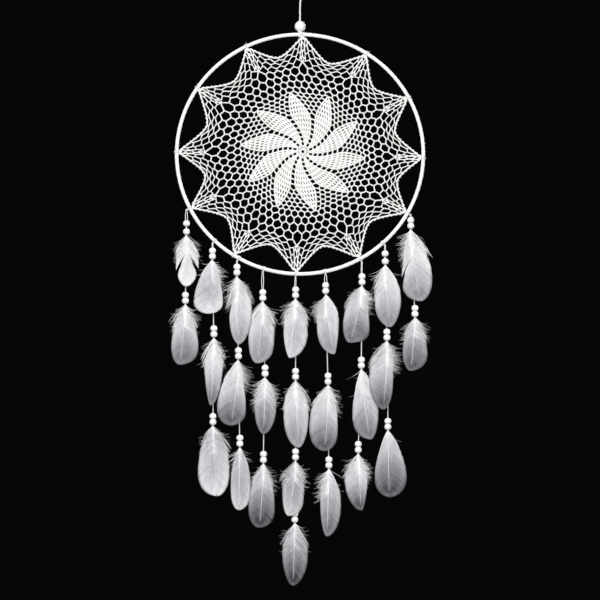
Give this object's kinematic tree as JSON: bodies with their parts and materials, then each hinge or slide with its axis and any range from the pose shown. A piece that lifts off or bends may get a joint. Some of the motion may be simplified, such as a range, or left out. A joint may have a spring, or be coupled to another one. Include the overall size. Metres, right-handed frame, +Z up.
{
  "type": "dream catcher",
  "caption": "Hanging ornament: a wrapped round hoop holding a lacy crocheted doily with scalloped points, with a cord loop and bead above and strands of beads and feathers below.",
  "frame": {"origin": "the point inside the top of the hanging loop, where the loop rests on its nail", "axes": "+Z up, +X to the right seen from the front, the front towards -Y; the hoop and its strands lie in the XZ plane"},
  "size_m": [0.3326, 0.0136, 0.8204],
  "materials": {
    "cotton_cord": "twisted white cotton cord, matt",
    "crochet_cotton": "crocheted white cotton thread, matt",
    "ribbon": "smooth white ribbon wound in a close spiral, soft sheen",
    "steel": "bare steel wire, hidden under the ribbon",
    "white_wood": "turned wood, painted white, satin",
    "feather": "white goose feather, soft and matt with a fine sheen along the barbs"
  },
  "bodies": {
    "hanger": {"hanger_cord": "cotton_cord"},
    "top_bead": {"hanger_bead": "white_wood"},
    "knot": {"hanger_knot": "cotton_cord"},
    "hoop": {"hoop_core": "steel", "hoop_wrap": "ribbon", "doily": "crochet_cotton"},
    "strand_1_tier_1": {"strand_1_beads_1": "white_wood", "strand_1_feather_1": "feather"},
    "strand_1_tier_2": {"strand_1_beads_2": "white_wood", "strand_1_feather_2": "feather"},
    "strand_2_tier_1": {"strand_2_beads_1": "white_wood", "strand_2_feather_1": "feather"},
    "strand_2_tier_2": {"strand_2_beads_2": "white_wood", "strand_2_feather_2": "feather"},
    "strand_2_tier_3": {"strand_2_beads_3": "white_wood", "strand_2_feather_3": "feather"},
    "strand_3_tier_1": {"strand_3_beads_1": "white_wood", "strand_3_feather_1": "feather"},
    "strand_3_tier_2": {"strand_3_beads_2": "white_wood", "strand_3_feather_2": "feather"},
    "strand_3_tier_3": {"strand_3_beads_3": "white_wood", "strand_3_feather_3": "feather"},
    "strand_4_tier_1": {"strand_4_beads_1": "white_wood", "strand_4_feather_1": "feather"},
    "strand_4_tier_2": {"strand_4_beads_2": "white_wood", "strand_4_feather_2": "feather"},
    "strand_4_tier_3": {"strand_4_beads_3": "white_wood", "strand_4_feather_3": "feather"},
    "strand_5_tier_1": {"strand_5_beads_1": "white_wood", "strand_5_feather_1": "feather"},
    "strand_5_tier_2": {"strand_5_beads_2": "white_wood", "strand_5_feather_2": "feather"},
    "strand_5_tier_3": {"strand_5_beads_3": "white_wood", "strand_5_feather_3": "feather"},
    "strand_5_tier_4": {"strand_5_beads_4": "white_wood", "strand_5_feather_4": "feather"},
    "strand_6_tier_1": {"strand_6_beads_1": "white_wood", "strand_6_feather_1": "feather"},
    "strand_6_tier_2": {"strand_6_beads_2": "white_wood", "strand_6_feather_2": "feather"},
    "strand_6_tier_3": {"strand_6_beads_3": "white_wood", "strand_6_feather_3": "feather"},
    "strand_7_tier_1": {"strand_7_beads_1": "white_wood", "strand_7_feather_1": "feather"},
    "strand_7_tier_2": {"strand_7_beads_2": "white_wood", "strand_7_feather_2": "feather"},
    "strand_7_tier_3": {"strand_7_beads_3": "white_wood", "strand_7_feather_3": "feather"},
    "strand_8_tier_1": {"strand_8_beads_1": "white_wood", "strand_8_feather_1": "feather"},
    "strand_8_tier_2": {"strand_8_beads_2": "white_wood", "strand_8_feather_2": "feather"},
    "strand_8_tier_3": {"strand_8_beads_3": "white_wood", "strand_8_feather_3": "feather"},
    "strand_9_tier_1": {"strand_9_beads_1": "white_wood", "strand_9_feather_1": "feather"},
    "strand_9_tier_2": {"strand_9_beads_2": "white_wood", "strand_9_feather_2": "feather"}
  },
  "joints": [
    {"name": "top_bead_slide", "type": "slide", "parent": "hanger", "child": "top_bead", "axis": [0, 0, 1], "range_m": [0, 0.028]},
    {"name": "hanging_spin", "type": "hinge", "parent": "hanger", "child": "knot", "pos_m": [0, 0, -0.0963], "axis": [0, 0, 1], "continuous": true},
    {"name": "hoop_swing", "type": "hinge", "parent": "knot", "child": "hoop", "pos_m": [0, 0, -0.0963], "axis": [1, 0, 0], "range_deg": [-20, 20]},
    {"name": "strand_1_swing_1", "type": "hinge", "parent": "hoop", "child": "strand_1_tier_1", "pos_m": [-0.14501, 0, -0.32788], "axis": [1, 0, 0], "range_deg": [-45, 45]},
    {"name": "strand_1_swing_2", "type": "hinge", "parent": "strand_1_tier_1", "child": "strand_1_tier_2", "pos_m": [-0.14501, 0.00085, -0.36078], "axis": [1, 0, 0], "range_deg": [0, 25]},
    {"name": "strand_2_swing_1", "type": "hinge", "parent": "hoop", "child": "strand_2_tier_1", "pos_m": [-0.11169, 0, -0.37169], "axis": [1, 0, 0], "range_deg": [-45, 45]},
    {"name": "strand_2_swing_2", "type": "hinge", "parent": "strand_2_tier_1", "child": "strand_2_tier_2", "pos_m": [-0.11169, 0.00085, -0.39319], "axis": [1, 0, 0], "range_deg": [0, 25]},
    {"name": "strand_2_swing_3", "type": "hinge", "parent": "strand_2_tier_2", "child": "strand_2_tier_3", "pos_m": [-0.10969, 0.00085, -0.49497], "axis": [1, 0, 0], "range_deg": [0, 25]},
    {"name": "strand_3_swing_1", "type": "hinge", "parent": "hoop", "child": "strand_3_tier_1", "pos_m": [-0.08039, 0, -0.39494], "axis": [1, 0, 0], "range_deg": [-45, 45]},
    {"name": "strand_3_swing_2", "type": "hinge", "parent": "strand_3_tier_1", "child": "strand_3_tier_2", "pos_m": [-0.08039, 0.00085, -0.41444], "axis": [1, 0, 0], "range_deg": [0, 25]},
    {"name": "strand_3_swing_3", "type": "hinge", "parent": "strand_3_tier_2", "child": "strand_3_tier_3", "pos_m": [-0.07839, 0.00085, -0.5237], "axis": [1, 0, 0], "range_deg": [0, 25]},
    {"name": "strand_4_swing_1", "type": "hinge", "parent": "hoop", "child": "strand_4_tier_1", "pos_m": [-0.04744, 0, -0.40916], "axis": [1, 0, 0], "range_deg": [-45, 45]},
    {"name": "strand_4_swing_2", "type": "hinge", "parent": "strand_4_tier_1", "child": "strand_4_tier_2", "pos_m": [-0.04744, 0.00085, -0.44766], "axis": [1, 0, 0], "range_deg": [0, 25]},
    {"name": "strand_4_swing_3", "type": "hinge", "parent": "strand_4_tier_2", "child": "strand_4_tier_3", "pos_m": [-0.04444, 0.00085, -0.54652], "axis": [1, 0, 0], "range_deg": [0, 25]},
    {"name": "strand_5_swing_1", "type": "hinge", "parent": "hoop", "child": "strand_5_tier_1", "pos_m": [-0.00568, 0, -0.41665], "axis": [1, 0, 0], "range_deg": [-45, 45]},
    {"name": "strand_5_swing_2", "type": "hinge", "parent": "strand_5_tier_1", "child": "strand_5_tier_2", "pos_m": [-0.00568, 0.00085, -0.44415], "axis": [1, 0, 0], "range_deg": [0, 25]},
    {"name": "strand_5_swing_3", "type": "hinge", "parent": "strand_5_tier_2", "child": "strand_5_tier_3", "pos_m": [-0.00568, 0.00085, -0.55065], "axis": [1, 0, 0], "range_deg": [0, 25]},
    {"name": "strand_5_swing_4", "type": "hinge", "parent": "strand_5_tier_3", "child": "strand_5_tier_4", "pos_m": [-0.00568, 0.00085, -0.65523], "axis": [1, 0, 0], "range_deg": [0, 25]},
    {"name": "strand_6_swing_1", "type": "hinge", "parent": "hoop", "child": "strand_6_tier_1", "pos_m": [0.03262, 0, -0.41294], "axis": [1, 0, 0], "range_deg": [-45, 45]},
    {"name": "strand_6_swing_2", "type": "hinge", "parent": "strand_6_tier_1", "child": "strand_6_tier_2", "pos_m": [0.03262, 0.00085, -0.43844], "axis": [1, 0, 0], "range_deg": [0, 25]},
    {"name": "strand_6_swing_3", "type": "hinge", "parent": "strand_6_tier_2", "child": "strand_6_tier_3", "pos_m": [0.03562, 0.00085, -0.55678], "axis": [1, 0, 0], "range_deg": [0, 25]},
    {"name": "strand_7_swing_1", "type": "hinge", "parent": "hoop", "child": "strand_7_tier_1", "pos_m": [0.0789, 0, -0.39634], "axis": [1, 0, 0], "range_deg": [-45, 45]},
    {"name": "strand_7_swing_2", "type": "hinge", "parent": "strand_7_tier_1", "child": "strand_7_tier_2", "pos_m": [0.0789, 0.00085, -0.42684], "axis": [1, 0, 0], "range_deg": [0, 25]},
    {"name": "strand_7_swing_3", "type": "hinge", "parent": "strand_7_tier_2", "child": "strand_7_tier_3", "pos_m": [0.0779, 0.00085, -0.53582], "axis": [1, 0, 0], "range_deg": [0, 25]},
    {"name": "strand_8_swing_1", "type": "hinge", "parent": "hoop", "child": "strand_8_tier_1", "pos_m": [0.10857, 0, -0.37458], "axis": [1, 0, 0], "range_deg": [-45, 45]},
    {"name": "strand_8_swing_2", "type": "hinge", "parent": "strand_8_tier_1", "child": "strand_8_tier_2", "pos_m": [0.10857, 0.00085, -0.39968], "axis": [1, 0, 0], "range_deg": [0, 25]},
    {"name": "strand_8_swing_3", "type": "hinge", "parent": "strand_8_tier_2", "child": "strand_8_tier_3", "pos_m": [0.11057, 0.00085, -0.49938], "axis": [1, 0, 0], "range_deg": [0, 25]},
    {"name": "strand_9_swing_1", "type": "hinge", "parent": "hoop", "child": "strand_9_tier_1", "pos_m": [0.14137, 0, -0.33463], "axis": [1, 0, 0], "range_deg": [-45, 45]},
    {"name": "strand_9_swing_2", "type": "hinge", "parent": "strand_9_tier_1", "child": "strand_9_tier_2", "pos_m": [0.14137, 0.00085, -0.35313], "axis": [1, 0, 0], "range_deg": [0, 25]}
  ]
}
